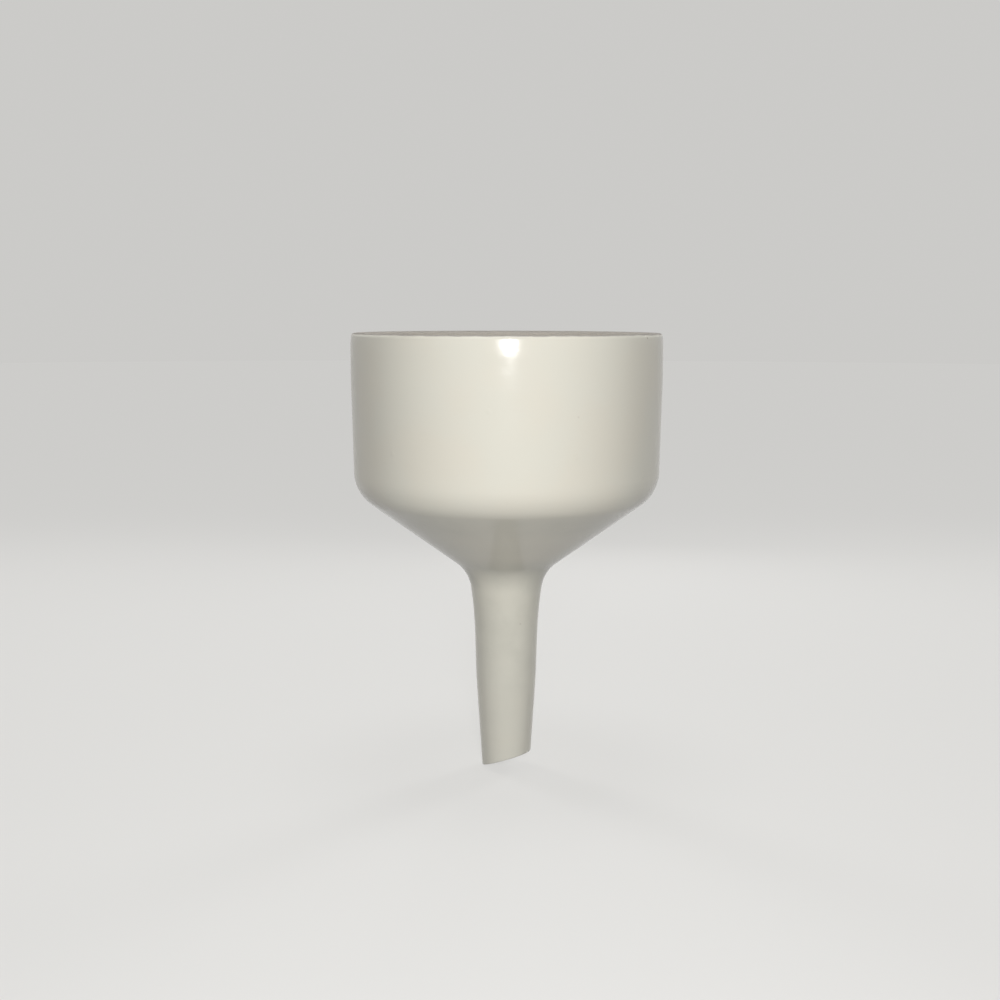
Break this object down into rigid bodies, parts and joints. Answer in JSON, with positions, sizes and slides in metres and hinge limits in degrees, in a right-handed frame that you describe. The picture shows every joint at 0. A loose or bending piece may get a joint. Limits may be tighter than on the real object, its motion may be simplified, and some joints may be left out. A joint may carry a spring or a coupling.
{
  "type": "buchner funnel",
  "caption": "Porcelain filter funnel with a deep straight-sided bowl, a fixed perforated plate, a cone and a tapered stem with a slanting tip, for filtration under suction.",
  "frame": {"origin": "on the funnel's axis at the seat, where the cone meets the stem and a flask's stopper stops", "axes": "+Z along the funnel's axis towards the mouth, with the stem hanging down; the lowest point of the slanting tip is at -X"},
  "size_m": [0.102, 0.102, 0.1462],
  "materials": {
    "glazed_porcelain": "cream-white glaze, glossy, with fine ripple; bare and matt on the rim's flat face",
    "fired_slip": "fired porcelain slip under the same glaze"
  },
  "bodies": {
    "root": {"bowl": "glazed_porcelain", "bowl_slip_ring": "fired_slip", "sieve_plate": "glazed_porcelain", "plate_slip_ring": "fired_slip", "cone": "glazed_porcelain", "stem_slip_ring": "fired_slip", "stem": "glazed_porcelain"}
  },
  "joints": []
}
